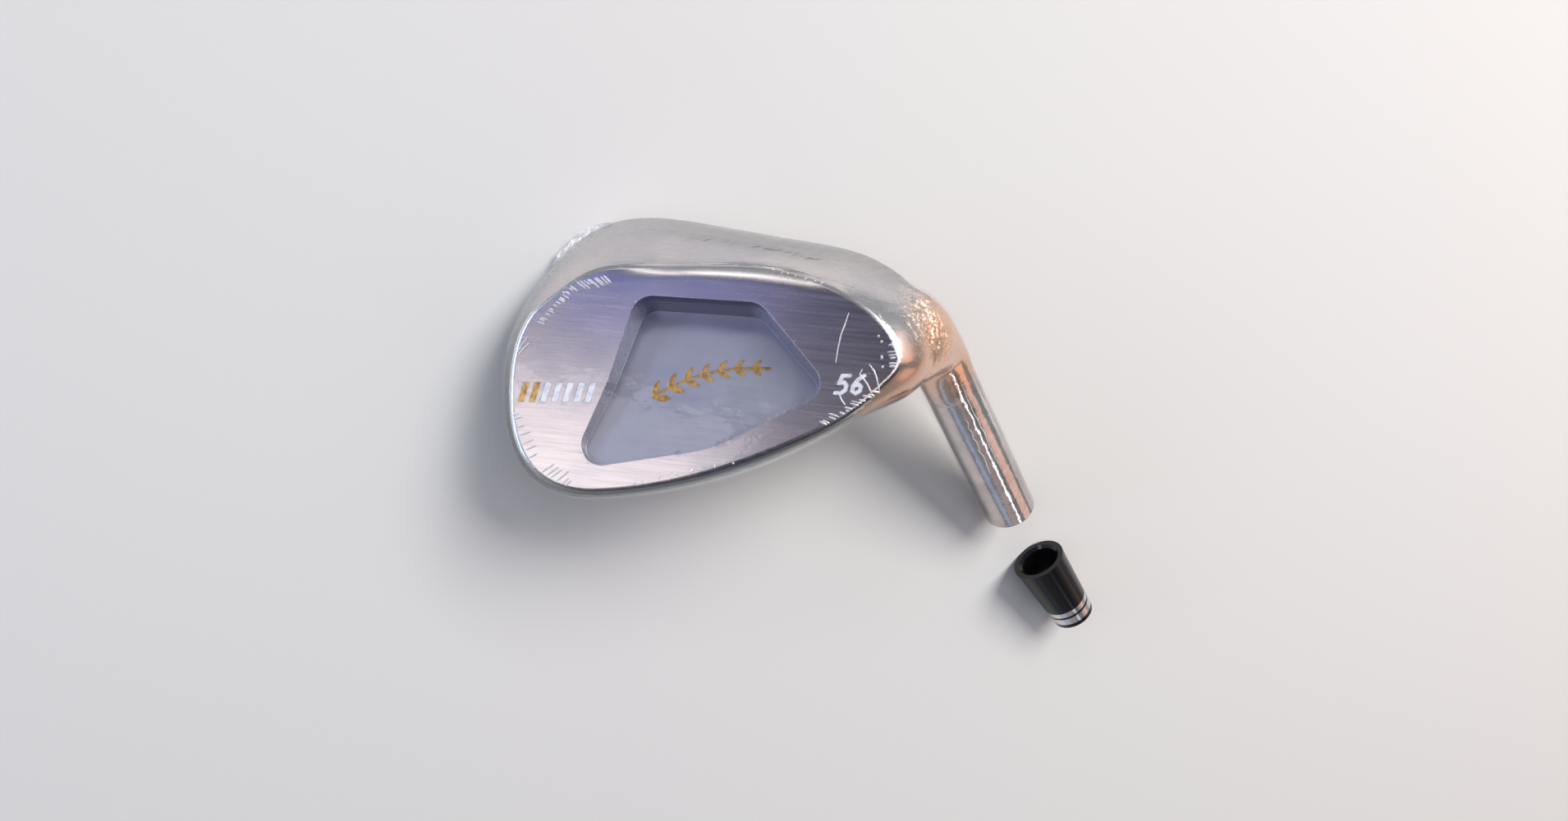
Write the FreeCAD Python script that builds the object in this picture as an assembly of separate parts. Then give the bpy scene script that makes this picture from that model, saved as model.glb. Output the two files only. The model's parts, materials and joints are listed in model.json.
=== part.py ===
import FreeCAD, Part
import math
import os

from FreeCAD import Matrix, Vector

# Head of a right-handed forged sand wedge in its shrink film, lying back side up,
# with its loose ferrule on the surface beside the end of the hosel.  Millimetres.
#
# The head is drawn in a frame of its own: X runs from the hosel to the toe, Y up
# the face and Z out of the back.  The face lies in Z = 0, the leading edge runs
# near Y = 0, and X = 0 is just inside the heel.  It is then laid down: +X towards
# the hosel, +Y towards the sole, +Z up, with the origin under the middle of
# everything.

# Driving dimensions of the head
LOFT = 56.0              # degrees
LIE = 62.5               # degrees
FACE_PROGRESSION = 7.2   # leading edge ahead of the hosel's axis
EDGE_HEIGHT = 2.5        # leading edge above the ground
HOSEL_X = 2.2            # where the hosel's axis meets the ground
HOSEL_RADIUS = 6.35
HOSEL_LENGTH = 81.0      # from the ground to the rim, along the axis
BORE_RADIUS = 4.75       # for a 9.4 mm parallel shaft tip
BORE_DEPTH = 33.0
BORE_CHAMFER = 0.5

BACK_HEIGHT = 12.6       # thickness at the trailing ridge
RIDGE_Y = 13.3
BACK_TAPER = 0.155       # thickness lost per mm up the face
CAMBER = 1.3             # bulge of the sole and of the toe flank
BACK_ROUND = 1.6         # round along the back's outline

# Outlines of the face and of the back as (X, Y), point for point: from the heel
# along the sole, round the toe and back along the top line
FACE_OUTLINE = [(-9.0, 22.0), (-4.5, 9.5), (6.0, 2.6), (22.0, 0.1), (42.0, -1.6),
                (56.0, -1.6), (64.5, 1.2), (71.5, 8.2), (76.6, 18.6), (79.2, 29.5),
                (78.6, 40.0), (75.8, 49.5), (71.0, 56.2), (63.0, 59.6), (52.0, 58.6),
                (36.0, 54.0), (20.0, 46.6), (5.0, 37.0), (-5.0, 31.0)]
BACK_OUTLINE = [(-1.2, 27.0), (1.7, 21.6), (10.3, 15.8), (22.0, 11.8), (41.0, 12.5),
                (54.0, 14.0), (61.7, 15.9), (67.8, 20.4), (72.8, 25.6), (75.2, 33.0),
                (75.0, 41.2), (73.0, 49.8), (69.2, 55.4), (62.5, 59.0), (51.5, 58.7),
                (36.0, 54.3), (20.0, 47.0), (7.5, 39.2), (1.0, 32.0)]
OUTLINE_CENTRE = Vector(40.0, 30.0, 0.0)

# Neck between the blade and the hosel: the outer end, the inner end and half the
# thickness of each oval section, then round sections on the hosel's axis
NECK_OVALS = [((8.0, 8.0, 3.4), (8.6, 35.2, 4.8), 2.8),
              ((3.0, 7.4, 1.8), (4.0, 34.2, 3.8), 4.5),
              ((-3.4, 8.0, -1.6), (-2.2, 31.6, 0.8), 5.7),
              ((-7.8, 8.9, -7.2), (-5.6, 28.4, -4.4), 6.3),
              ((-11.0, 10.8, -11.8), (-6.8, 25.2, -9.0), 6.5)]
NECK_ROUNDS = [(28.5, 6.65), (33.0, 6.45), (38.0, 6.2)]
NECK_POINTS = 16
NECK_SEAM = Vector(-3.4, 13.6, 4.3)   # on the seam between neck and blade
NECK_BLEND = 8.0         # radius that softens the seam
HOSEL_ROOT = 29.0        # where the plain cylinder starts inside the neck

# Pocket in the back: corners of its floor with the radius of each
POCKET_CORNERS = [((51.4, 20.2), 4.0), ((27.4, 19.4), 4.5), ((12.0, 34.2), 3.4),
                  ((33.5, 48.0), 30.0), ((61.2, 55.2), 3.8), ((55.2, 37.2), 16.0)]
POCKET_FLOOR = 4.0       # thickness of the face behind the pocket
POCKET_DRAFT = 5.0       # degrees

# Scorelines across the face
GROOVE_WIDTH = 0.9
GROOVE_DEPTH = 0.5
GROOVE_PITCH = 3.6
GROOVE_COUNT = 14
GROOVE_FIRST_Y = 6.0
GROOVE_TOE_X = 66.0
GROOVE_HEEL_X = 15.0

# Engraved marks, filled with enamel.  Each is drawn on a sheet of its own, with U
# to the right and V up as it is read, and placed on the head by its middle point.
FILL_DEPTH = 0.35
FILL_DROP = 0.05         # enamel lies this far below the metal
MARK_SLANT = 0.28        # U gained per V by slanted strokes

SPRIG_MIDDLE = (36.4, 34.6)
SPRIG_DIRECTION = (-24.4, -9.6)
SPRIG_LENGTH = 25.0
SPRIG_RISE = 2.2         # how far the stem's middle stands above its ends
SPRIG_STEM = 0.55
LEAF_PAIRS = 7
LEAF_LENGTH = 3.9
LEAF_WIDTH = 1.25
LEAF_ANGLE = 38.0        # degrees from the stem

BAR_MIDDLE = (65.6, 40.4)
BAR_DIRECTION = (-1.0, -0.1)
BAR_HEIGHT = 3.9
BAR_WIDTH = 1.25
BAR_PITCH = 2.25
GOLD_BARS = 2
WHITE_BARS = 5

NUMBER_MIDDLE = (8.2, 33.0)
NUMBER_DIRECTION = (-1.0, -0.1)
NUMBER_STROKE = 0.75
NUMBER_SIZE = 1.75       # millimetres to each unit of the digits below
DIGIT_PITCH = 1.75
DIGIT_FIVE = [(1.1, 2.0), (0.3, 2.0), (0.15, 1.15), (0.7, 1.25), (1.05, 0.9), (1.05, 0.4),
              (0.65, 0.0), (0.05, 0.05)]
DIGIT_SIX = [(1.0, 2.0), (0.4, 1.55), (0.05, 0.85), (0.1, 0.3), (0.55, 0.0), (0.95, 0.3),
             (0.95, 0.75), (0.6, 1.05), (0.1, 0.8)]

# Shrink film round the head, drawn tight across the pocket
FILM_GAP = 0.2
FILM_OUTSIDE = 0.45
FILM_END = 64.0          # along the hosel's axis

# Ferrule, along its own axis from the wide mouth to the narrow end
FERRULE_MOUTH_RADIUS = 6.75
FERRULE_END_RADIUS = 5.35
FERRULE_LENGTH = 20.0
FERRULE_BORE = 4.75
FERRULE_FLARE = 0.7      # chamfer inside the mouth
FERRULE_PIECES = [("ferrule_barrel", 14.6), ("ferrule_outer_ring", 1.5),
                  ("ferrule_spacer", 0.7), ("ferrule_inner_ring", 2.0),
                  ("ferrule_end_cap", 1.2)]

# How everything lies: the head leans on the rim of its hosel and on the low toe
HEEL_UP = 23.4           # degrees, about the head's Y
SOLE_UP = 17.9           # degrees, about the head's X
FERRULE_AWAY = 16.4      # from the hosel's rim to the ferrule's mouth, on the ground
FERRULE_ASIDE = 1.7
FERRULE_HEADING = -46.8  # degrees from +X


def back_height(y):
    return BACK_HEIGHT - BACK_TAPER * (y - RIDGE_Y)


def closed_curve(points):
    """Smooth closed wire through the points."""
    curve = Part.BSplineCurve()
    curve.interpolate(Points=points, PeriodicFlag=True)
    return Part.Wire(curve.toShape())


def hosel_frame():
    """Where the hosel's axis meets the ground, and the axis's direction."""
    loft, lie = math.radians(LOFT), math.radians(LIE)
    foot = Vector(HOSEL_X, FACE_PROGRESSION * math.sin(loft) - EDGE_HEIGHT * math.cos(loft),
                  FACE_PROGRESSION * math.cos(loft) + EDGE_HEIGHT * math.sin(loft))
    axis = Vector(-math.cos(lie), math.sin(lie) * math.cos(loft),
                  -math.sin(lie) * math.sin(loft))
    return foot, axis


def hosel_point(distance):
    foot, axis = hosel_frame()
    return foot + axis * distance


def blade(grow=0.0):
    """Blade from the face's outline to the back's, grown outwards by grow."""
    face, middle, back = [], [], []
    for (face_x, face_y), (back_x, back_y) in zip(FACE_OUTLINE, BACK_OUTLINE):
        low = Vector(face_x, face_y, 0.0)
        high = Vector(back_x, back_y, back_height(back_y))
        out = low - OUTLINE_CENTRE
        out.normalize()
        side = high - low
        square = out - side * (out.dot(side) / side.dot(side))
        square.normalize()
        bulge = CAMBER * high.z / BACK_HEIGHT
        face.append(low + out * grow - Vector(0, 0, grow))
        middle.append((low + high) * 0.5 + square * (bulge + grow))
        edge = high + out * grow
        back.append(Vector(edge.x, edge.y, back_height(edge.y) + grow))
    solid = Part.makeLoft([closed_curve(p) for p in (face, middle, back)], True, False)
    rim = [e for e in solid.Edges if e.BoundBox.ZMin > POCKET_FLOOR]
    return solid.makeFillet(BACK_ROUND + grow, rim)


def neck(grow=0.0):
    """Elbow that turns from an upright oval in the blade's heel to the hosel."""
    axis = hosel_frame()[1]
    level = Vector(-1, 0, 0)
    hinge = level.cross(axis)
    turn = FreeCAD.Rotation(hinge, math.degrees(level.getAngle(axis)))
    tall = turn.multVec(Vector(0, 1, 0))
    ovals = [(Vector(*outer), Vector(*inner), half) for outer, inner, half in NECK_OVALS]
    for distance, radius in NECK_ROUNDS:
        centre = hosel_point(distance)
        ovals.append((centre - tall * radius, centre + tall * radius, radius))
    middles = [(outer + inner) * 0.5 for outer, inner, half in ovals]
    rows = []
    for k, (outer, inner, half) in enumerate(ovals):
        along = axis
        if k < len(NECK_OVALS):
            along = middles[k + 1] - middles[max(k - 1, 0)]
        reach = inner - outer
        half_height = reach.Length / 2
        reach.normalize()
        across = along.cross(reach)
        across.normalize()
        row = []
        for j in range(NECK_POINTS + 1):
            angle = 2 * math.pi * j / NECK_POINTS
            row.append(middles[k] + reach * ((half_height + grow) * math.cos(angle))
                       + across * ((half + grow) * math.sin(angle)))
        rows.append(row)
    surface = Part.BSplineSurface()
    surface.interpolate(rows)
    skin = surface.toShape()
    caps = [Part.Face(Part.Wire(e)) for e in skin.Edges if e.isClosed()]
    shell = Part.makeShell([skin.Faces[0]] + caps)
    shell.sewShape()
    solid = Part.makeSolid(shell)
    if solid.Volume < 0:
        solid.reverse()
    return solid


def hosel(end, grow=0.0):
    return Part.makeCylinder(HOSEL_RADIUS + grow, end - HOSEL_ROOT,
                             hosel_point(HOSEL_ROOT), hosel_frame()[1])


def rounded_wire(corners, grow, height):
    """Polygon with rounded corners, offset outwards by grow, at Z = height."""
    points = [Vector(x, y, 0) for (x, y), radius in corners]
    radii = [radius for xy, radius in corners]
    middle = Vector(0, 0, 0)
    for point in points:
        middle = middle + point * (1.0 / len(points))
    edges, ends = [], []
    count = len(points)
    for k, corner in enumerate(points):
        before = points[k - 1] - corner
        after = points[(k + 1) % count] - corner
        before.normalize()
        after.normalize()
        half = before.getAngle(after) / 2
        bisector = before + after
        bisector.normalize()
        reach = radii[k] / math.tan(half)
        start, stop = corner + before * reach, corner + after * reach
        arc_middle = corner + bisector * (radii[k] / math.sin(half) - radii[k])
        ends.append((start, arc_middle, stop))
    for k, (start, arc_middle, stop) in enumerate(ends):
        edges.append(Part.Arc(start, arc_middle, stop).toShape())
        edges.append(Part.LineSegment(stop, ends[(k + 1) % count][0]).toShape())
    wire = Part.Wire(edges)
    if grow:
        wire = wire.makeOffset2D(grow)
    wire.translate(Vector(0, 0, height))
    return wire


def pocket():
    """Tool that cuts the pocket: its walls lean out by the draft."""
    top = BACK_HEIGHT + 4.0
    lean = (top - POCKET_FLOOR) * math.tan(math.radians(POCKET_DRAFT))
    low = rounded_wire(POCKET_CORNERS, 0.0, POCKET_FLOOR)
    high = rounded_wire(POCKET_CORNERS, lean, top)
    return Part.makeLoft([low, high], True, True)


def grooves():
    """Scorelines as one compound of V-sided bars, shorter under the top line."""
    bars = []
    for k in range(GROOVE_COUNT):
        y = GROOVE_FIRST_Y + k * GROOVE_PITCH
        heel_x = max(GROOVE_HEEL_X, GROOVE_HEEL_X + (y - 34.0) * 1.75)
        half = GROOVE_WIDTH / 2
        section = Part.makePolygon([Vector(heel_x, y - half, -0.01), Vector(heel_x, y + half, -0.01),
                                    Vector(heel_x, y + half / 2, GROOVE_DEPTH),
                                    Vector(heel_x, y - half / 2, GROOVE_DEPTH),
                                    Vector(heel_x, y - half, -0.01)])
        bars.append(Part.Face(section).extrude(Vector(GROOVE_TOE_X - heel_x, 0, 0)))
    return Part.makeCompound(bars)


def bore():
    axis = hosel_frame()[1]
    hole = Part.makeCylinder(BORE_RADIUS, BORE_DEPTH + 1.0,
                             hosel_point(HOSEL_LENGTH - BORE_DEPTH), axis)
    flare = Part.makeCone(BORE_RADIUS, BORE_RADIUS + 2 * BORE_CHAMFER, 2 * BORE_CHAMFER,
                          hosel_point(HOSEL_LENGTH - BORE_CHAMFER), axis)
    return hole.fuse(flare)


def back_sheet(middle):
    """Placement of a mark on the sloping back: its middle and its outward normal."""
    x, y = middle
    normal = Vector(0, BACK_TAPER, 1)
    normal.normalize()
    return Vector(x, y, back_height(y)), normal


def pocket_sheet(middle):
    x, y = middle
    return Vector(x, y, POCKET_FLOOR), Vector(0, 0, 1)


def on_sheet(shape, sheet, direction):
    """Moves a shape drawn in U, V, W to its sheet, with U along direction."""
    origin, normal = sheet
    u = Vector(direction[0], direction[1], 0)
    u = u - normal * u.dot(normal)
    u.normalize()
    v = normal.cross(u)
    matrix = Matrix(u.x, v.x, normal.x, origin.x,
                    u.y, v.y, normal.y, origin.y,
                    u.z, v.z, normal.z, origin.z,
                    0, 0, 0, 1)
    placed = shape.copy()
    placed.Placement = FreeCAD.Placement(matrix)
    return placed


def united(faces):
    shape = faces[0]
    if len(faces) > 1:
        shape = shape.multiFuse(faces[1:])
    return shape.removeSplitter()


def polygon_face(points):
    return Part.Face(Part.makePolygon([Vector(u, v, 0) for u, v in points + points[:1]]))


def stroke(start, stop, width):
    """Bar with round ends from start to stop."""
    start, stop = Vector(*start, 0), Vector(*stop, 0)
    along = stop - start
    along.normalize()
    side = Vector(-along.y, along.x, 0) * (width / 2)
    tip = along * (width / 2)
    edges = [Part.LineSegment(start + side, stop + side).toShape(),
             Part.Arc(stop + side, stop + tip, stop - side).toShape(),
             Part.LineSegment(stop - side, start - side).toShape(),
             Part.Arc(start - side, start - tip, start + side).toShape()]
    return Part.Face(Part.Wire(edges))


def leaf(root, angle, length):
    """Pointed leaf bounded by two arcs."""
    direction = Vector(math.cos(math.radians(angle)), math.sin(math.radians(angle)), 0)
    side = Vector(-direction.y, direction.x, 0) * (LEAF_WIDTH / 2 * length / LEAF_LENGTH)
    root = Vector(*root, 0)
    tip = root + direction * length
    middle = root + direction * (length * 0.45)
    edges = [Part.Arc(root, middle + side, tip).toShape(),
             Part.Arc(tip, middle - side, root).toShape()]
    return Part.Face(Part.Wire(edges))


def stem_point(share):
    """Point and slope of the sprig's stem, share 0 to 1 along it."""
    u = SPRIG_LENGTH * (share - 0.5)
    v = SPRIG_RISE * (1 - (2 * share - 1) ** 2)
    slope = -4 * SPRIG_RISE * (2 * share - 1) / SPRIG_LENGTH
    return (u, v), math.degrees(math.atan(slope))


def sprig():
    """Curved stem with pairs of leaves that shrink towards its tip."""
    pieces = []
    for k in range(LEAF_PAIRS):
        share = 0.04 + 0.84 * k / (LEAF_PAIRS - 1)
        place, heading = stem_point(share)
        length = LEAF_LENGTH * (1.0 - 0.35 * share)
        pieces.append(leaf(place, heading + LEAF_ANGLE, length))
        pieces.append(leaf(place, heading - LEAF_ANGLE, length))
        ahead = stem_point(share + 0.84 / (LEAF_PAIRS - 1))[0]
        pieces.append(stroke(place, ahead, SPRIG_STEM))
    return united(pieces)


def slanted_bars(first, count):
    """Slanted bars, numbered from the left of the whole row."""
    total = GOLD_BARS + WHITE_BARS
    bars = []
    for k in range(first, first + count):
        u = (k - (total - 1) / 2) * BAR_PITCH - BAR_WIDTH / 2
        lean = MARK_SLANT * BAR_HEIGHT
        low, high = -BAR_HEIGHT / 2, BAR_HEIGHT / 2
        bars.append(polygon_face([(u - lean / 2, low), (u + BAR_WIDTH - lean / 2, low),
                                  (u + BAR_WIDTH + lean / 2, high), (u + lean / 2, high)]))
    return bars


def loft_number():
    """The two digits of the loft, slanted."""
    strokes = []
    for place, digit in enumerate((DIGIT_FIVE, DIGIT_SIX)):
        points = []
        for u, v in digit:
            left = place * DIGIT_PITCH - 1.4
            points.append(((u + left + MARK_SLANT * v) * NUMBER_SIZE, (v - 1.0) * NUMBER_SIZE))
        strokes.append(united([stroke(a, b, NUMBER_STROKE) for a, b in zip(points, points[1:])]))
    return strokes


def fill(faces, sheet, direction):
    """Enamel of the faces' shape, and the tool that engraves its recess."""
    enamel, tool = [], []
    for face in faces:
        low = face.copy()
        low.translate(Vector(0, 0, -FILL_DEPTH))
        enamel.append(on_sheet(low.extrude(Vector(0, 0, FILL_DEPTH - FILL_DROP)), sheet, direction))
        tool.append(on_sheet(low.extrude(Vector(0, 0, FILL_DEPTH + 1.0)), sheet, direction))
    return Part.makeCompound(enamel), Part.makeCompound(tool)


def enamel_fills():
    """Name of each fill with its enamel and its engraving tool."""
    bars = back_sheet(BAR_MIDDLE)
    number = back_sheet(NUMBER_MIDDLE)
    return {
        "pocket_sprig_fill": fill([sprig()], pocket_sheet(SPRIG_MIDDLE), SPRIG_DIRECTION),
        "toe_gold_fill": fill(slanted_bars(0, GOLD_BARS), bars, BAR_DIRECTION),
        "toe_white_fill": fill(slanted_bars(GOLD_BARS, WHITE_BARS), bars, BAR_DIRECTION),
        "loft_number_fill": fill(loft_number(), number, NUMBER_DIRECTION),
    }


def plain_head(end, grow=0.0):
    """Blade, neck and hosel in one, grown outwards, with nothing cut."""
    solid = blade(grow).fuse(neck(grow)).fuse(hosel(end, grow))
    mark = Part.Vertex(NECK_SEAM)
    seam = min(solid.Edges, key=lambda edge: edge.distToShape(mark)[0])
    return solid.makeFillet(NECK_BLEND, [seam])


def head_body(engraving):
    """One forging: blade, neck and hosel, with everything that is cut into it."""
    solid = plain_head(HOSEL_LENGTH)
    for tool in [bore(), pocket(), grooves()] + engraving:
        solid = solid.cut(tool)
    return solid.Solids[0]


def shrink_film():
    """Thin skin round the head, open where it ends on the hosel."""
    outside = plain_head(FILM_END, FILM_OUTSIDE)
    inside = plain_head(FILM_END + 1.0, FILM_GAP)
    return outside.cut(inside).Solids[0]


def lying(shape):
    """Turns a shape of the head's frame to how the head lies."""
    heel, sole = math.radians(HEEL_UP), math.radians(SOLE_UP)
    up = Vector(-math.sin(heel), math.cos(heel) * math.sin(sole), math.cos(heel) * math.cos(sole))
    x = Vector(-1, 0, 0)
    x = x - up * x.dot(up)
    x.normalize()
    y = up.cross(x)
    matrix = Matrix(x.x, x.y, x.z, 0,
                    y.x, y.y, y.z, 0,
                    up.x, up.y, up.z, 0,
                    0, 0, 0, 1)
    if isinstance(shape, Vector):
        return matrix.multVec(shape)
    turned = shape.copy()
    turned.Placement = FreeCAD.Placement(matrix)
    return turned


def ferrule_radius(distance):
    share = distance / FERRULE_LENGTH
    return FERRULE_MOUTH_RADIUS + (FERRULE_END_RADIUS - FERRULE_MOUTH_RADIUS) * share


def ferrule():
    """Rings of a hollow cone about +X, from the mouth at X = 0."""
    axis = Vector(1, 0, 0)
    pieces = {}
    start = 0.0
    for name, length in FERRULE_PIECES:
        end = start + length
        at = Vector(start, 0, 0)
        ring = Part.makeCone(ferrule_radius(start), ferrule_radius(end), length, at, axis)
        ring = ring.cut(Part.makeCylinder(FERRULE_BORE, length, at, axis))
        if start == 0.0:
            ring = ring.cut(Part.makeCone(FERRULE_BORE + FERRULE_FLARE, FERRULE_BORE,
                                          FERRULE_FLARE, at, axis))
        pieces[name] = ring.Solids[0]
        start = end
    return pieces


def ferrule_placement(ground):
    """Lays the ferrule on its side on the ground, beyond the hosel's rim."""
    slope = math.atan((FERRULE_MOUTH_RADIUS - FERRULE_END_RADIUS) / FERRULE_LENGTH)
    rim = lying(hosel_point(HOSEL_LENGTH))
    heading = math.radians(FERRULE_HEADING)
    ahead = Vector(math.cos(heading), math.sin(heading), 0)
    aside = Vector(ahead.y, -ahead.x, 0)
    mouth = Vector(rim.x, rim.y, 0) + ahead * FERRULE_AWAY + aside * FERRULE_ASIDE
    mouth.z = ground + FERRULE_MOUTH_RADIUS * math.cos(slope)
    turn = FreeCAD.Rotation(Vector(0, 0, 1), FERRULE_HEADING)
    dip = FreeCAD.Rotation(Vector(0, 1, 0), math.degrees(slope))
    return FreeCAD.Placement(mouth, turn.multiply(dip))


def build():
    """Every piece where it lies, by name, and the hosel's and ferrule's axes."""
    fills = enamel_fills()
    nodes = {"head_body": lying(head_body([tool for enamel, tool in fills.values()]))}
    for name, (enamel, tool) in fills.items():
        nodes[name] = lying(enamel)
    ground = nodes["head_body"].optimalBoundingBox(False).ZMin
    film = lying(shrink_film())
    box = film.BoundBox
    below = Part.makeBox(4 * box.XLength, 4 * box.YLength, 4 * FILM_END,
                         Vector(box.XMin - box.XLength, box.YMin - box.YLength, ground - 4 * FILM_END))
    nodes["shrink_film"] = film.cut(below).Solids[0]
    place = ferrule_placement(ground)
    for name, piece in ferrule().items():
        piece.Placement = place.multiply(piece.Placement)
        nodes[name] = piece
    box = Part.makeCompound(list(nodes.values())).optimalBoundingBox(False)
    shift = Vector(-(box.XMin + box.XMax) / 2, -(box.YMin + box.YMax) / 2, -ground)
    for shape in nodes.values():
        shape.translate(shift)
    axes = {"hosel": (lying(hosel_point(HOSEL_LENGTH)) + shift, lying(hosel_frame()[1])),
            "ferrule": (place.Base + shift, place.Rotation.multVec(Vector(1, 0, 0)))}
    return nodes, axes


def main():
    os.makedirs("parts", exist_ok=True)
    for name, shape in build()[0].items():
        shape.exportStep("parts/" + name + ".step")


if __name__ == "__main__":
    main()
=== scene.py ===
import json
import math
import random

import bmesh
import bpy
from mathutils import Matrix, Vector, noise
from mathutils.bvhtree import BVHTree

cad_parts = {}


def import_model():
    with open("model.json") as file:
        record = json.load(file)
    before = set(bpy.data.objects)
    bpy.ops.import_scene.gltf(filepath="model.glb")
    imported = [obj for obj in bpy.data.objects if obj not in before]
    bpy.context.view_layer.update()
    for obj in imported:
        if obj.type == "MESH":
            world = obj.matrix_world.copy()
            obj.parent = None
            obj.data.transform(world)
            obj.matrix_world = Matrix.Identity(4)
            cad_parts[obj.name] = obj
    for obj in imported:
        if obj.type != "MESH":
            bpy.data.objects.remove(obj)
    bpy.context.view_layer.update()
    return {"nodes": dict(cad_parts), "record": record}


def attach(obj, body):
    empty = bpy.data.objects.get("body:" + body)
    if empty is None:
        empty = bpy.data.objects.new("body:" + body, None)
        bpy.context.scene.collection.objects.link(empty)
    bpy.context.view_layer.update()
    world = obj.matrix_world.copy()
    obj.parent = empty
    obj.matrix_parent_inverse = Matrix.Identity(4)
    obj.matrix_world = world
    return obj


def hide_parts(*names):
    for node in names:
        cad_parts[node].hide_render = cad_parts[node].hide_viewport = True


# Looks of a forged wedge head in shrink film, lying back side up, and its loose ferrule.
# Metres.  The frame's own axes: +X towards the hosel, +Y towards the sole, +Z up.

MM = 0.001

# Camera, at the photograph's viewing angle
CAMERA_PLACE = Vector((-0.0890, 0.0283, 0.2191))
CAMERA_AHEAD = Vector((0.3317, -0.0978, -0.9383))
CAMERA_UP = Vector((-0.0599, 0.9904, -0.1245))
LENS_MM = 22.7
SENSOR_MM = 36.0

# The head's own frame, as it was drawn: X from the hosel to the toe, Y up the face, Z out
# of the back, with the face in Z = 0.  Sizes in that frame are in millimetres.
HEEL_UP = math.radians(23.4)
SOLE_UP = math.radians(17.9)
LOFT = math.radians(56.0)
LIE = math.radians(62.5)
FACE_PROGRESSION = 7.2
EDGE_HEIGHT = 2.5
HOSEL_X = 2.2
HOSEL_RADIUS = 6.35
HOSEL_LENGTH = 81.0
BORE_CHAMFER = 0.5
BACK_HEIGHT = 12.6
RIDGE_Y = 13.3
BACK_TAPER = 0.155
POCKET_FLOOR = 4.0
HEAD_MIDDLE = (38.0, 33.0, 8.0)
FILM_END = 64.0

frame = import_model()


def head_axes():
    """The head's X, Y and Z as unit vectors of the frame."""
    z = Vector((-math.sin(HEEL_UP), math.cos(HEEL_UP) * math.sin(SOLE_UP),
                math.cos(HEEL_UP) * math.cos(SOLE_UP)))
    x = Vector((-1, 0, 0))
    x = (x - z * x.dot(z)).normalized()
    y = z.cross(x)
    rows = Matrix((x, y, z))
    return rows.col[0].copy(), rows.col[1].copy(), rows.col[2].copy()


def hosel_axis():
    """The hosel's axis in the head's frame, as a point and a direction up the shaft.

    The point is where the axis meets the ground when the club stands ready to strike."""
    foot = Vector((HOSEL_X, FACE_PROGRESSION * math.sin(LOFT) - EDGE_HEIGHT * math.cos(LOFT),
                   FACE_PROGRESSION * math.cos(LOFT) + EDGE_HEIGHT * math.sin(LOFT)))
    axis = Vector((-math.cos(LIE), math.sin(LIE) * math.cos(LOFT),
                   -math.sin(LIE) * math.sin(LOFT)))
    return foot, axis


HEAD_X, HEAD_Y, HEAD_Z = head_axes()


def turned(point):
    """A direction of the head's frame as one of the frame."""
    return HEAD_X * point[0] + HEAD_Y * point[1] + HEAD_Z * point[2]


def mount(name):
    return next(m for m in frame["record"]["mounts"] if m["name"] == name)


def head_origin():
    """Where the head's own origin lies in the frame, from the mount half way down the bore."""
    bore = mount("hosel_bore")
    foot, axis = hosel_axis()
    depth = bore["dims"]["length_mm"] / 2 + BORE_CHAMFER
    return Vector(bore["pos_m"]) - turned(foot + axis * (HOSEL_LENGTH - depth)) * MM


HEAD_ORIGIN = head_origin()


def on_head(x, y, z):
    """Point of the head's frame, in millimetres, as a point of the frame, in metres."""
    return HEAD_ORIGIN + turned((x, y, z)) * MM


def back_height(y):
    """Z of the back's plane at Y, in the head's frame."""
    return BACK_HEIGHT - BACK_TAPER * (y - RIDGE_Y)


def added(name, data):
    """New object of the scene."""
    made = bpy.data.objects.new(name, data)
    bpy.context.scene.collection.objects.link(made)
    return made


# Materials

# Edge between the back and the sole's flank: Y = lowest + bow (X - middle)^2
RIDGE_MIDDLE_X = 31.0
RIDGE_LOWEST_Y = 11.6
RIDGE_BOW = 0.004
RIDGE_WIDTH = 3.6
RIDGE_SLOPE = 0.55

# Distances along the hosel's axis between which the polish and the painted copper reflection
# come in, and the painted copper reflection goes out
POLISH = (14.0, 24.0)
PAINTED_COPPER_REFLECTION_IN = (8.0, 16.0)
PAINTED_COPPER_REFLECTION_OUT = (26.0, 42.0)
# How far the steel's edges look rounded, in metres
SOFT_EDGE = 0.00022


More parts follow.
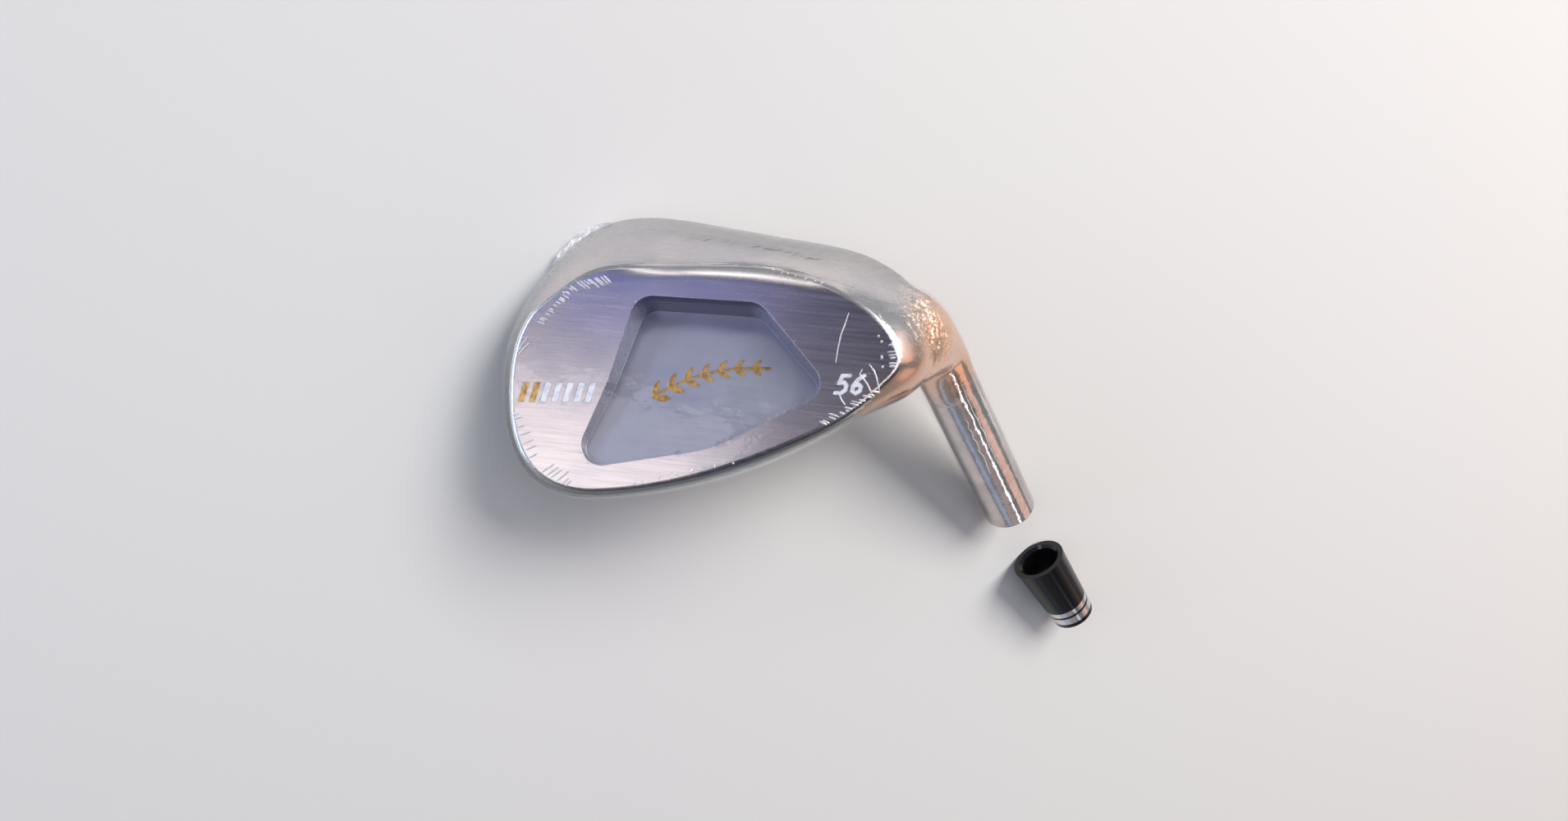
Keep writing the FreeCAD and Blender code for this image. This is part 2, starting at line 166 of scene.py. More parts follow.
class Shader:
    """A material's node tree, with short ways to add and link nodes."""

    def __init__(self, name):
        self.material = bpy.data.materials.new(name)
        self.material.use_nodes = True
        self.tree = self.material.node_tree
        self.main = self.tree.nodes["Principled BSDF"]

    def node(self, kind, inputs=(), **settings):
        made = self.tree.nodes.new(kind)
        for key, value in settings.items():
            setattr(made, key, value)
        for socket, value in dict(inputs).items():
            self.put(made.inputs[socket], value)
        return made

    def put(self, socket, value):
        if isinstance(value, bpy.types.NodeSocket):
            self.tree.links.new(value, socket)
        else:
            socket.default_value = value

    def set(self, **inputs):
        for name, value in inputs.items():
            self.put(self.main.inputs[name.replace("_", " ")], value)

    def math(self, operation, a, b=0.0, clamp=False):
        return self.node("ShaderNodeMath", {0: a, 1: b}, operation=operation,
                         use_clamp=clamp).outputs[0]

    def times(self, first, *others):
        for other in others:
            first = self.math("MULTIPLY", first, other)
        return first

    def inverse(self, share):
        return self.math("SUBTRACT", 1.0, share)

    def ramp(self, value, low, high, start=0.0, end=1.0):
        """Smooth step of value, from start at low to end at high."""
        return self.node("ShaderNodeMapRange",
                         {"Value": value, "From Min": low, "From Max": high,
                          "To Min": start, "To Max": end},
                         interpolation_type="SMOOTHSTEP").outputs[0]

    def mix(self, factor, a, b):
        made = self.tree.nodes.new("ShaderNodeMix")
        made.data_type = "RGBA"
        self.put(made.inputs[0], factor)
        self.put(made.inputs[6], a)
        self.put(made.inputs[7], b)
        return made.outputs[2]

    def position(self):
        return self.node("ShaderNodeTexCoord").outputs["Object"]

    def along(self, vector, axis, offset=0.0):
        """Component of a vector along an axis, plus an offset."""
        dot = self.node("ShaderNodeVectorMath", {0: vector, 1: tuple(axis)},
                        operation="DOT_PRODUCT").outputs["Value"]
        return self.math("ADD", dot, offset)

    def joined(self, x, y, z):
        return self.node("ShaderNodeCombineXYZ", {0: x, 1: y, 2: z}).outputs[0]

    def noise(self, vector, scale, detail=4.0, roughness=0.55):
        return self.node("ShaderNodeTexNoise",
                         {"Vector": vector, "Scale": scale, "Detail": detail,
                          "Roughness": roughness}).outputs["Fac"]

    def bump(self, height, strength, distance, normal=None):
        inputs = {"Height": height, "Strength": strength, "Distance": distance}
        if normal is not None:
            inputs["Normal"] = normal
        return self.node("ShaderNodeBump", inputs).outputs[0]


def colour(red, green, blue):
    return (red, green, blue, 1.0)


class Surroundings(Shader):
    """A world's node tree."""

    def __init__(self, made):
        self.tree = made.node_tree
        self.main = self.tree.nodes["Background"]


def head_coordinates(shader):
    """Position in the head's own frame, in millimetres, as three values."""
    place = shader.position()
    return [shader.times(shader.along(place, axis, -HEAD_ORIGIN.dot(axis)), 1 / MM)
            for axis in (HEAD_X, HEAD_Y, HEAD_Z)]


def ridge_round(s, x, y, z, upright):
    """Height in millimetres that softens the edge between the back and the sole's flank."""
    from_middle = s.math("SUBTRACT", x, RIDGE_MIDDLE_X)
    edge_y = s.math("ADD", s.times(from_middle, from_middle, RIDGE_BOW), RIDGE_LOWEST_Y)
    inward = s.math("MAXIMUM", s.math("SUBTRACT", y, edge_y), 0.0)
    down = s.math("MAXIMUM", s.math("SUBTRACT", back_height(RIDGE_Y), z), 0.0)
    on_back = s.ramp(upright, 0.6, 0.8)
    away = s.math("ADD", s.times(inward, on_back), s.times(down, s.inverse(on_back)))
    near = s.math("MAXIMUM", s.math("SUBTRACT", RIDGE_WIDTH, away), 0.0)
    drop = s.times(near, near, -RIDGE_SLOPE / (2 * RIDGE_WIDTH))
    ends = s.times(s.ramp(x, 8.0, 20.0), s.ramp(x, 62.0, 44.0), s.ramp(y, 26.0, 20.0))
    return s.times(drop, ends)


class Steel(Shader):
    """Forged steel, with its zones as shares from 0 to 1 and its noises."""

    def __init__(self):
        super().__init__("forged_steel")
        self.x, self.y, self.z = head_coordinates(self)
        place = self.joined(self.x, self.y, self.z)
        self.facing = self.node("ShaderNodeTexCoord").outputs["Normal"]
        self.upright = self.along(self.facing, HEAD_Z)
        foot, axis = hosel_axis()
        self.reach = self.along(place, axis, -foot.dot(axis))

        low = self.ramp(self.z, POCKET_FLOOR + 0.25, POCKET_FLOOR + 0.5, 1.0, 0.0)
        self.pocket = self.times(self.ramp(self.upright, 0.9, 0.97), low)
        # Share of the sides, which get painted shade and a painted green reflection
        self.side = self.ramp(self.upright, 0.50, 0.88, 1.0, 0.0)
        self.face = self.ramp(self.upright, -0.99, -0.95, 1.0, 0.0)
        self.polish = self.ramp(self.reach, *POLISH)

        # Brushing: long fine lines along X
        strokes = self.joined(self.times(self.x, 0.035), self.y, self.times(self.z, 0.6))
        self.fine = self.noise(strokes, 4.5, 2.0, 0.5)
        self.coarse = self.noise(strokes, 1.7, 2.0, 0.5)
        self.cloud = self.noise(place, 0.06, 3.0, 0.5)
        self.grain = self.noise(place, 9.0, 3.0, 0.7)
        self.smudge = self.noise(place, 0.22, 4.0, 0.6)


def painted_flank_shade_and_reflection(s):
    """Painted shade and a painted green reflection on the sides: darker, a little greener
    outside than on the pocket's wall.
    """
    from_middle = s.node("ShaderNodeVectorMath",
                         {0: s.position(), 1: tuple(on_head(*HEAD_MIDDLE))},
                         operation="SUBTRACT").outputs[0]
    outward = s.node("ShaderNodeVectorMath", {0: from_middle, 1: s.facing},
                     operation="DOT_PRODUCT").outputs["Value"]
    return s.mix(s.ramp(outward, -MM, MM), colour(0.25, 0.25, 0.30), colour(0.215, 0.226, 0.22))


def steel_tone(s):
    """Colour of each finish, with painted shade and a painted green reflection on the sides,
    and the copper that the neck mirrors, painted on as a painted copper reflection.
    """
    cloudy = s.ramp(s.cloud, 0.35, 0.7)
    smudged = s.ramp(s.smudge, 0.3, 0.7)
    light = s.mix(cloudy, colour(0.74, 0.69, 0.69), colour(0.62, 0.60, 0.63))
    brushed = s.mix(s.ramp(s.fine, 0.35, 0.75, 0.0, 0.19), light, colour(0.42, 0.39, 0.40))
    matt = s.mix(smudged, colour(0.53, 0.54, 0.63), colour(0.50, 0.51, 0.60))
    shiny = s.mix(smudged, colour(0.60, 0.55, 0.54), colour(0.48, 0.44, 0.44))
    # Painted copper reflection: in on the neck along the hosel and out again, only near the
    # heel
    painted_copper_reflection = s.times(s.ramp(s.reach, *PAINTED_COPPER_REFLECTION_IN), s.ramp(s.reach, *PAINTED_COPPER_REFLECTION_OUT, 0.92, 0.0),
                     s.ramp(s.x, 0.0, 9.0, 1.0, 0.0))
    # Painted shade and a painted green reflection on the sides
    tone = s.mix(s.side, brushed, painted_flank_shade_and_reflection(s))
    tone = s.mix(s.pocket, tone, matt)
    tone = s.mix(s.polish, tone, shiny)
    return s.mix(painted_copper_reflection, tone, colour(0.76, 0.45, 0.30))


def steel_roughness(s):
    """Rougher in the pocket and on the face, smoother on the polished neck and hosel."""
    rough = s.ramp(s.coarse, 0.3, 0.7, 0.231, 0.277)
    rough = s.math("ADD", rough, s.times(s.pocket, 0.18))
    rough = s.math("ADD", rough, s.times(s.face, 0.08))
    return s.times(rough, s.inverse(s.times(s.polish, 0.55)))


def steel_normal(s):
    """Soft edges, then the ridge, the brushing, the hosel's dents and the pocket's grain."""
    normal = s.node("ShaderNodeBevel", {"Radius": SOFT_EDGE}, samples=4).outputs[0]
    normal = s.bump(ridge_round(s, s.x, s.y, s.z, s.upright), 1.0, MM, normal)
    lines = s.times(s.fine, s.inverse(s.times(s.polish, 0.95)),
                    s.inverse(s.times(s.pocket, 0.9)))
    normal = s.bump(lines, 0.20, 0.00001, normal)
    dents = s.noise(s.joined(s.times(s.reach, 0.35), s.x, s.y), 0.45, 3.0, 0.55)
    normal = s.bump(s.times(dents, s.polish), 1.0, 0.00010, normal)
    return s.bump(s.times(s.grain, s.pocket), 0.3, 0.00004, normal)


def steel():
    """Forged steel: brushed on the back, matt in the pocket, polished towards the hosel."""
    s = Steel()
    s.set(Base_Color=steel_tone(s), Metallic=1.0)
    s.set(Roughness=steel_roughness(s), Normal=steel_normal(s))
    return s.material


def enamel(name, base, dark, metallic):
    """Paint in an engraving, thinner and darker here and there."""
    s = Shader(name)
    place = s.position()
    patch = s.noise(place, 900.0, 3.0)
    s.set(Base_Color=s.mix(s.ramp(patch, 0.35, 0.7), base, dark), Metallic=metallic)
    s.set(Roughness=s.ramp(patch, 0.3, 0.7, 0.28, 0.45))
    s.set(Normal=s.bump(s.noise(place, 1600.0, 2.0), 0.4, 0.00005))
    return s.material


def along_ferrule(s):
    """Distance along the ferrule's axis, in millimetres."""
    bore = mount("ferrule_bore")
    place, axis = Vector(bore["pos_m"]), Vector(bore["axis"])
    return s.times(s.along(s.position(), axis, -place.dot(axis)), 1 / MM)


def black_plastic():
    """Turned and buffed plastic with fine rings and dust."""
    s = Shader("ferrule_black")
    rings = s.noise(s.joined(along_ferrule(s), 0.0, 0.0), 6.0, 4.0, 0.7)
    dust = s.ramp(s.noise(s.position(), 2600.0, 2.0, 0.8), 0.68, 0.74)
    s.set(Base_Color=s.mix(s.times(dust, 0.5), colour(0.005, 0.0045, 0.006),
                           colour(0.16, 0.15, 0.15)))
    s.set(Roughness=s.ramp(rings, 0.3, 0.7, 0.13, 0.26), Specular_IOR_Level=0.3)
    s.set(Coat_Weight=0.15, Coat_Roughness=0.06)
    s.set(Normal=s.bump(rings, 0.25, 0.00005))
    return s.material


def silver_ring():
    """Bright metal with fine turning marks."""
    s = Shader("ferrule_silver")
    rings = s.noise(s.joined(along_ferrule(s), 0.0, 0.0), 14.0, 3.0, 0.7)
    s.set(Base_Color=s.mix(rings, colour(0.80, 0.77, 0.77), colour(0.62, 0.59, 0.60)))
    s.set(Metallic=1.0)
    s.set(Roughness=s.ramp(rings, 0.3, 0.7, 0.14, 0.30))
    s.set(Normal=s.bump(rings, 0.3, 0.00004))
    return s.material


def dress(node, material):
    slots = frame["nodes"][node].material_slots
    for slot in slots:
        slot.material = material
    if not slots:
        frame["nodes"][node].data.materials.append(material)


def dress_frame():
    gold = enamel("gold_enamel", colour(0.80, 0.48, 0.12), colour(0.36, 0.19, 0.05), 0.5)
    white = enamel("white_enamel", colour(0.97, 0.97, 1.0), colour(0.72, 0.73, 0.86), 0.0)
    black = black_plastic()
    silver = silver_ring()
    dress("head_body", steel())
    dress("pocket_sprig_fill", gold)
    dress("toe_gold_fill", gold)
    dress("toe_white_fill", white)
    dress("loft_number_fill", white)
    for node in ("ferrule_barrel", "ferrule_spacer", "ferrule_end_cap"):
        dress(node, black)
    for node in ("ferrule_outer_ring", "ferrule_inner_ring"):
        dress(node, silver)


# Shrink film

FILM_VOXEL = 0.00045
FILM_LEAST_GAP = 0.00010
FILM_NEAR_STEEL = 0.001  # the gap is only kept where the steel is as near as this
FILM_REACH = 0.0085      # from the film's inner skin to the steel, at the pocket's deepest
FILM_SMOOTHING = 5
WELD = 1e-6
RAY_START = 1e-5
GROUND_LAYER = 5e-5      # the CAD film's faces up to here lie on the ground
GROUND_CUT = 0.00035     # and the remeshed skin's
END_LAYER = 0.05         # mm before the film's end on the hosel, in the CAD
END_CUT = 0.4            # and in the remeshed skin


def hosel_reach(point):
    """Distance in metres of a point of the frame along the hosel's axis."""
    foot, axis = hosel_axis()
    return (point - on_head(*foot)).dot(turned(axis))


def largest_island(mesh):
    """Deletes every face that isn't joined to the largest patch."""
    left = set(mesh.faces)
    islands = []
    while left:
        patch = {left.pop()}
        edge_of_patch = list(patch)
        while edge_of_patch:
            face = edge_of_patch.pop()
            near = {other for edge in face.edges for other in edge.link_faces} & left
            left -= near
            patch |= near
            edge_of_patch.extend(near)
        islands.append(patch)
    islands.sort(key=len)
    for patch in islands[:-1]:
        bmesh.ops.delete(mesh, geom=list(patch), context="FACES")


def outer_skin(steel_tree):
    """The CAD film's outer faces, with the holes at its ends closed."""
    skin = bmesh.new()
    skin.from_mesh(frame["nodes"]["shrink_film"].data)
    bmesh.ops.remove_doubles(skin, verts=skin.verts, dist=WELD)
    skin.normal_update()
    inner = []
    for face in skin.faces:
        centre = face.calc_center_median()
        start = centre + face.normal * RAY_START
        hit = steel_tree.ray_cast(start, face.normal, FILM_REACH)[0]
        on_ground = centre.z < GROUND_LAYER and face.normal.z < -0.9
        on_end = hosel_reach(centre) > (FILM_END - END_LAYER) * MM
        if hit is not None or on_ground or on_end:
            inner.append(face)
    bmesh.ops.delete(skin, geom=inner, context="FACES")
    largest_island(skin)
    bmesh.ops.holes_fill(skin, edges=[e for e in skin.edges if e.is_boundary], sides=0)
    bmesh.ops.triangulate(skin, faces=[f for f in skin.faces if len(f.verts) > 4])
    return skin


def evenly_meshed(mesh, voxel):
    """New object whose surface is remade of small even quads."""
    data = bpy.data.meshes.new("shrink_wrap")
    mesh.to_mesh(data)
    mesh.free()
    made = added("shrink_wrap", data)
    remesh = made.modifiers.new("even", "REMESH")
    remesh.mode = "VOXEL"
    remesh.voxel_size = voxel
    depsgraph = bpy.context.evaluated_depsgraph_get()
    even = bpy.data.meshes.new_from_object(made.evaluated_get(depsgraph))
    made.modifiers.remove(remesh)
    made.data = even
    bpy.data.meshes.remove(data)
    return made


def open_ends(mesh):
    """Cuts the closed skin open again at its end on the hosel and where it meets the ground."""
    beyond = []
    for face in mesh.faces:
        centre = face.calc_center_median()
        past_end = hosel_reach(centre) > (FILM_END - END_CUT) * MM
        on_ground = centre.z < GROUND_CUT and face.normal.z < -0.8
        if past_end or on_ground:
            beyond.append(face)
    bmesh.ops.delete(mesh, geom=beyond, context="FACES")


def clear_steel(mesh, steel_tree):
    """Moves the film out to its least gap wherever it is nearer the steel than that."""
    mesh.normal_update()
    for vert in mesh.verts:
        near, normal, _, gap = steel_tree.find_nearest(vert.co)
        if (vert.co - near).dot(normal) < FILM_LEAST_GAP and gap < FILM_NEAR_STEEL:
            vert.co = near + normal * FILM_LEAST_GAP


def crease(mesh):
    """Moves the film in and out along its normals by its wrinkles."""
    mesh.normal_update()
    for vert in mesh.verts:
        lift = wrinkle(head_point(vert.co), vert.normal.dot(HEAD_Z))
        vert.co += vert.normal * lift * MM


def film():
    """The clear wrap, in place of the CAD's film, and its folds."""
    steel_tree = BVHTree.FromObject(frame["nodes"]["head_body"],
                                    bpy.context.evaluated_depsgraph_get())
    made = evenly_meshed(outer_skin(steel_tree), FILM_VOXEL)
    skin = bmesh.new()
    skin.from_mesh(made.data)
    open_ends(skin)
    for _ in range(FILM_SMOOTHING):
        bmesh.ops.smooth_vert(skin, verts=skin.verts, factor=0.5, use_axis_x=True,
                              use_axis_y=True, use_axis_z=True)
    clear_steel(skin, steel_tree)
    crease(skin)
    for face in skin.faces:
        face.smooth = True
    skin.to_mesh(made.data)
    skin.free()
    made.data.materials.clear()
    made.data.materials.append(film_material())
    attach(made, "head")
    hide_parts("shrink_film")
    film_detail(made)


# Wrinkles of the film, in the head's own frame and in millimetres

CRUMPLE_CENTRE = Vector((-6.0, 17.0, 1.0))
CRUMPLE_REACH = 12.0
CRUMPLE_HEIGHT = 0.34
SLACK_HEIGHT = 0.035
EDGE_RIPPLE = 0.10
RIPPLES_PER_RADIAN = 26.0
FOLD_SHARPNESS = 2.4
DEEPEST_DIP = 0.15
BACK_CENTRE = HEAD_MIDDLE[:2]


def head_point(point):
    """The reverse of on_head."""
    offset = point - HEAD_ORIGIN
    return Vector((offset.dot(HEAD_X), offset.dot(HEAD_Y), offset.dot(HEAD_Z))) / MM


def fade(value, full, none):
    """1 where value is at full, 0 from none on, smooth between."""
    share = min(max((value - none) / (full - none), 0.0), 1.0)
    return share * share * (3 - 2 * share)


def sharp_folds(p):
    """Noise folded over at zero, which gives it sharp crests."""
    return 1.0 - abs(noise.noise(p)) * FOLD_SHARPNESS


def wrinkle(p, upright):
    """Height of the film above its smooth surface at a point of the head's frame.

    upright is how far the film faces out of the back there: 1 on the back, 0 on the sides."""
    slack = SLACK_HEIGHT * noise.noise(p * 0.14)
    folds = sharp_folds(p * 0.62) + 0.5 * sharp_folds(p * 1.3)
    crumple = CRUMPLE_HEIGHT * folds * fade((p - CRUMPLE_CENTRE).length, 4.0, CRUMPLE_REACH)
    angle = math.atan2(p.y - BACK_CENTRE[1], p.x - BACK_CENTRE[0])
    ripple = noise.noise(Vector((angle * RIPPLES_PER_RADIAN, 0.0, p.z * 0.1)))
    ripple *= EDGE_RIPPLE * fade(upright, 0.88, 0.985) * fade(upright, 0.6, 0.2)
    return max(slack + crumple + ripple, -DEEPEST_DIP)


# Pleats, creases and blisters, in the head's own frame and in millimetres

PLEAT_POINTS = 7
PLEAT_SUNK = 0.02
HALF_PROFILE = 2         # vertices on each side of a pleat's crest
CREASE_SIZE = (0.30, 0.16)
DROP_SIZE = (0.45, 0.16)
DROP_STEP = (0.45, 0.1)
HOSEL_CREASE_SIZE = (0.24, 0.10)
HOSEL_CREASE_STEPS = 12


def on_back(x, y):
    """Point of the back's plane."""
    return (x, y, back_height(y))


def straight(first, last):
    """Even points from one place to another."""
    steps = PLEAT_POINTS - 1
    return [Vector(first).lerp(Vector(last), k / steps) for k in range(steps + 1)]


def toward(place, target, length):
    """From place, a point length nearer the target, in the plane of the back."""
    away = Vector((target[0] - place[0], target[1] - place[1], 0)).normalized() * length
    return on_back(place[0] + away.x, place[1] + away.y)


def stitch(mesh, rows):
    """Smooth quads between each row of vertices and the next."""
    for low, high in zip(rows, rows[1:]):
        for k in range(len(low) - 1):
            mesh.faces.new((low[k], low[k + 1], high[k + 1], high[k])).smooth = True


def add_pleat(mesh, surface, points, width, height):
    """Narrow ridge that lies on the film along the points, and dies out at both ends."""
    path = [Vector(point) for point in points]
    last = len(path) - 1
    rows = []
    for k, here in enumerate(path):
        along = path[min(k + 1, last)] - path[max(k - 1, 0)]
        spot, normal = surface.find_nearest(on_head(*here))[:2]
        across = turned(along).cross(normal).normalized()
        swell = math.sin(math.pi * (k + 0.35) / (last + 0.7)) ** 0.6
        row = []
        for side in range(-HALF_PROFILE, HALF_PROFILE + 1):
            share = side / HALF_PROFILE
            edge = spot + across * (share * width / 2 * (0.35 + 0.65 * swell) * MM)
            lift = height * swell * math.cos(share * math.pi / 2) ** 1.4 - PLEAT_SUNK
            row.append(mesh.verts.new(edge + normal * lift * MM))
        rows.append(row)
    stitch(mesh, rows)


# Rows of pleats where the film gathers over the back's edge: (first place, last place,
# how many, shortest, longest)
PLEAT_ROWS = [((58.6, 16.4), (64.6, 18.4), 9, 1.2, 2.8),
              ((65.0, 18.8), (71.6, 27.4), 14, 0.7, 1.7),
              ((74.6, 45.0), (69.4, 54.2), 7, 0.8, 2.2),
              ((67.0, 56.4), (61.0, 58.6), 6, 1.2, 3.2),
              ((0.0, 23.0), (-0.9, 29.0), 8, 0.5, 1.6),
              ((1.4, 33.6), (12.0, 41.6), 13, 0.7, 2.3),
              ((14.0, 13.8), (26.0, 11.8), 7, 0.3, 0.8),
              ((28.0, 50.4), (50.0, 57.4), 8, 0.3, 0.9)]
# Longer creases, each through its own points on the back
CREASES = [[(4.4, 28.6), (3.2, 30.0), (2.4, 31.8), (1.9, 33.6)],
           [(5.6, 29.8), (6.0, 30.8), (5.2, 31.6), (4.3, 32.6), (3.4, 34.2), (2.6, 35.0)],
           [(9.4, 19.1), (9.9, 21.4), (10.5, 23.6), (10.8, 26.4), (10.9, 29.0)],
           [(72.8, 30.2), (73.8, 31.8), (74.4, 33.2)],
           [(72.2, 31.2), (73.4, 32.6), (74.2, 33.8)],
           [(9.8, 35.0), (9.0, 36.2), (8.2, 37.0)]]
# Creases along the hosel: degrees round it from its top, and where each starts and ends
HOSEL_CREASES = [(6.0, 33.0, 60.0), (-26.0, 37.0, 57.0), (28.0, 42.0, 61.0),
                 (-44.0, 31.0, 46.0), (14.0, 27.0, 34.0)]
# Tiny blisters on the back
DROPS = [(2.9, 23.0), (2.2, 24.0), (1.9, 26.9), (1.5, 28.9), (1.8, 27.2), (61.0, 18.2),
         (66.4, 20.6)]


def hosel_crease(draw, angle, start, stop):
    """Slightly wandering line along the hosel, as points of the head's frame."""
    foot, axis = hosel_axis()
    up = Vector((HEAD_X.z, HEAD_Y.z, HEAD_Z.z))
    up = (up - axis * up.dot(axis)).normalized()
    aside = axis.cross(up)
    points = []
    for k in range(HOSEL_CREASE_STEPS + 1):
        turn = math.radians(angle + draw.uniform(-2.5, 2.5))
        out = up * math.cos(turn) + aside * math.sin(turn)
        reach = start + (stop - start) * k / HOSEL_CREASE_STEPS
        points.append(foot + axis * reach + out * HOSEL_RADIUS)
    return points


def pleats(surface):
    """Every pleat, crease and tiny blister of the film, as one piece."""
    draw = random.Random(11)
    mesh = bmesh.new()
    for first, last, count, shortest, longest in PLEAT_ROWS:
        for k in range(count):
            share = (k + draw.uniform(0.2, 0.8)) / count
            place = on_back(*[a + (b - a) * share for a, b in zip(first, last)])
            tip = toward(place, BACK_CENTRE, draw.uniform(shortest, longest))
            width = draw.uniform(0.26, 0.48)
            height = draw.uniform(0.12, 0.22)
            add_pleat(mesh, surface, straight(place, tip), width, height)
    for corners in CREASES:
        add_pleat(mesh, surface, [on_back(x, y) for x, y in corners], *CREASE_SIZE)
    for x, y in DROPS:
        z = back_height(y)
        end = (x + DROP_STEP[0], y + DROP_STEP[1], z)
        add_pleat(mesh, surface, straight((x, y, z), end), *DROP_SIZE)
    for angle, start, stop in HOSEL_CREASES:
        add_pleat(mesh, surface, hosel_crease(draw, angle, start, stop), *HOSEL_CREASE_SIZE)
    return mesh


# Lip of spare film at the low toe, as points (X, Y, Z) on the face's edge
LIP_POINTS = [(62.0, 0.4, 1.2), (64.6, 1.4, 1.2), (66.8, 3.0, 1.3), (68.8, 4.9, 1.4),
              (70.6, 7.0, 1.6), (72.2, 9.4, 1.9), (73.4, 11.8, 2.2)]
LIP_OUT = Vector((-0.74, 0.67, 0.0))
LIP_WIDTH = 1.5
LIP_STEPS = 6            # across the lip
LIP_SPAN_STEPS = 4       # along it, from each point to the next


def lip(mesh, surface):
    """Wavy fin that stands out level from the film along the low toe."""
    draw = random.Random(5)
    last = len(LIP_POINTS) - 1
    rows = []
    for k in range(LIP_SPAN_STEPS * last + 1):
        base, share = divmod(k / LIP_SPAN_STEPS, 1)
        start = Vector(LIP_POINTS[int(base)])
        stop = Vector(LIP_POINTS[min(int(base) + 1, last)])
        spot = surface.find_nearest(on_head(*start.lerp(stop, share)))[0]
        swell = math.sin(math.pi * k / (LIP_SPAN_STEPS * last)) ** 0.5
        reach = LIP_WIDTH * swell * draw.uniform(0.55, 1.0)
        row = []
        for step in range(LIP_STEPS + 1):
            out = step / LIP_STEPS
            wave = 0.28 * out * math.sin(k * 1.9 + step * 0.8) + 0.10 * out
            rise = Vector((0, 0, wave * MM))
            row.append(mesh.verts.new(spot + LIP_OUT * (reach * out * MM) + rise))
        rows.append(row)
    stitch(mesh, rows)


def film_detail(wrap):
    """The film's folds, laid on the wrap."""
    surface = BVHTree.FromObject(wrap, bpy.context.evaluated_depsgraph_get())
    mesh = pleats(surface)
    lip(mesh, surface)
    data = bpy.data.meshes.new("film_pleats")
    mesh.to_mesh(data)
    mesh.free()
    made = added("film_pleats", data)
    data.materials.append(fold_white_painted_highlight())
    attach(made, "head")


def fold_white_painted_highlight():
    """Where the film is folded on itself it is painted white, partly the folded film's own
    whitening and partly a painted highlight, and it catches the light.
    """
    s = Shader("film_fold_painted_highlight")
    patch = s.noise(s.position(), 1800.0, 2.0)
    # White base colour: a painted highlight of the folds, beside their own whitening
    s.set(Base_Color=colour(0.97, 0.97, 1.0), Metallic=0.25, Roughness=0.16)
    s.set(Alpha=s.ramp(patch, 0.3, 0.7, 0.55, 0.95))
    return s.material


def film_material():
    """Clear film: a mirror that shows only as far as it reflects, with fine scratches, and a
    painted copper reflection round the crumple.
    """
    s = Shader("clear_film")
    place = s.position()
    offset = s.node("ShaderNodeVectorMath",
                    {0: s.joined(*head_coordinates(s)), 1: tuple(CRUMPLE_CENTRE)},
                    operation="DISTANCE").outputs["Value"]
    crumpled = s.ramp(offset, 5.0, CRUMPLE_REACH, 1.0, 0.0)
    waves = s.noise(place, 160.0, 3.0, 0.5)
    creases = s.math("ABSOLUTE", s.math("SUBTRACT", s.noise(place, 1300.0, 3.0, 0.6), 0.5))
    normal = s.bump(waves, 0.35, 0.0003)
    normal = s.bump(creases, s.times(crumpled, 0.8), 0.0004, normal)
    graze = s.node("ShaderNodeLayerWeight", {"Blend": 0.5, "Normal": normal}).outputs["Facing"]
    mirror = s.math("ADD", s.times(s.math("POWER", graze, 5.0), 0.8), 0.05)
    flecks = s.times(crumpled, s.ramp(creases, 0.02, 0.10, 0.42, 0.05))
    outside = s.inverse(s.node("ShaderNodeNewGeometry").outputs["Backfacing"])
    shown = s.times(s.math("ADD", mirror, flecks, clamp=True), outside)
    # The mirror's tint turns copper round the crumple: a painted copper reflection
    mirror_tint_painted_copper = s.mix(crumpled, colour(0.96, 0.97, 1.0), colour(1.0, 0.74, 0.58))
    s.set(Base_Color=mirror_tint_painted_copper, Metallic=1.0, Alpha=shown, Normal=normal)
    s.set(Roughness=s.ramp(s.noise(place, 420.0, 4.0, 0.6), 0.35, 0.75, 0.035, 0.14))
    return s.material


# Stage

FLOOR_HALF = 3.0
CLIP_START = 0.005


def camera():
    data = bpy.data.cameras.new("camera")
    data.lens = LENS_MM
    data.sensor_width = SENSOR_MM
    data.clip_start = CLIP_START
    made = added("camera", data)
    back = -CAMERA_AHEAD.normalized()
    right = CAMERA_UP.cross(back).normalized()
    up = back.cross(right)
    made.matrix_world = Matrix.LocRotScale(
        CAMERA_PLACE, Matrix((right, up, back)).transposed().to_quaternion(), None)
    bpy.context.scene.camera = made


def floor():
    data = bpy.data.meshes.new("floor")
    half = FLOOR_HALF
    data.from_pydata([(-half, -half, 0), (half, -half, 0), (half, half, 0), (-half, half, 0)],
                     [], [(0, 1, 2, 3)])
    s = Shader("floor_paper")
    s.set(Base_Color=colour(0.80, 0.80, 0.79), Roughness=0.85)
    data.materials.append(s.material)
    added("floor", data)


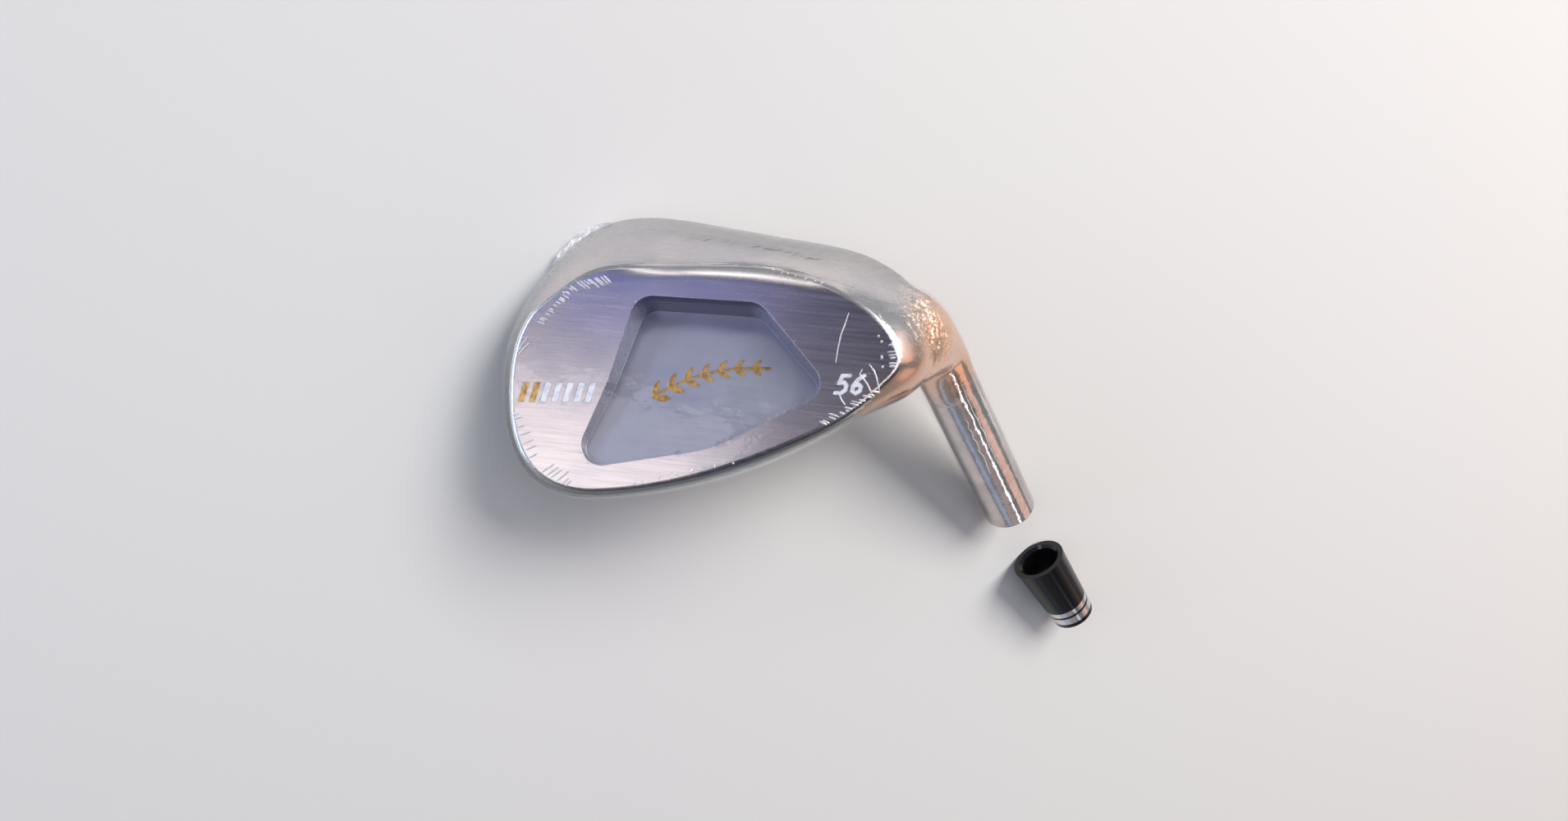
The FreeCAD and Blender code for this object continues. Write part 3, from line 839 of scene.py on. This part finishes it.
def softbox(name, direction, distance, width, height, power, tint):
    """Area light that faces the object from a direction, and that the camera doesn't see."""
    data = bpy.data.lights.new(name, "AREA")
    data.shape = "RECTANGLE"
    data.size = width
    data.size_y = height
    data.energy = power
    data.color = tint
    made = added(name, data)
    made.visible_camera = False
    made.location = Vector(direction).normalized() * distance
    made.rotation_euler = Vector(direction).to_track_quat("Z", "Y").to_euler()


def lights():
    """The key light, and windows and strips that parts of the steel mirror to the camera."""
    softbox("toe_window", (-0.66, 0.03, 0.75), 0.9, 0.33, 0.36, 0.62, (1.0, 0.93, 0.92))
    softbox("key_softbox", (0.42, 0.58, 0.70), 1.2, 0.6, 0.6, 12.0, (1.0, 0.98, 0.95))
    softbox("overhead_strip", (0.12, 0.12, 0.98), 0.9, 0.10, 0.5, 0.7, (0.97, 0.98, 1.0))
    softbox("ridge_strip", (-0.40, 0.72, 0.57), 0.9, 0.30, 0.10, 0.35, (1.0, 0.97, 0.95))
    softbox("blue_strip", (-0.95, 0.12, 0.28), 0.8, 0.6, 0.14, 1.5, (0.50, 0.66, 1.0))
    softbox("hosel_strip", (0.60, -0.68, 0.43), 0.9, 0.06, 0.3, 0.22, (1.0, 0.98, 1.0))
    softbox("copper_window", (0.90, -0.34, 0.30), 0.9, 0.34, 0.34, 0.30, (1.0, 0.56, 0.40))
    softbox("umber_window", (0.42, -0.83, 0.38), 0.9, 0.24, 0.30, 0.055, (1.0, 0.56, 0.44))
    softbox("copper_overhead", (0.76, 0.40, 0.51), 0.9, 0.55, 0.46, 0.85, (1.0, 0.52, 0.33))
    softbox("indigo_window", (-0.60, 0.36, 0.72), 0.9, 0.18, 0.32, 0.10, (0.26, 0.32, 1.0))
    softbox("navy_strip", (0.08, -0.97, 0.16), 0.9, 0.50, 0.16, 0.10, (0.40, 0.52, 1.0))


def world():
    """Grey studio that is darker overhead."""
    made = bpy.data.worlds.new("world")
    bpy.context.scene.world = made
    made.use_nodes = True
    s = Surroundings(made)
    up = s.along(s.node("ShaderNodeTexCoord").outputs["Generated"], (0, 0, 1))
    tone = s.mix(s.ramp(up, 0.30, 0.75), colour(0.37, 0.41, 0.42), colour(0.055, 0.055, 0.085))
    s.set(Color=tone, Strength=0.85)


bpy.context.scene.view_settings.view_transform = "Standard"
camera()
floor()
lights()
world()
dress_frame()
film()
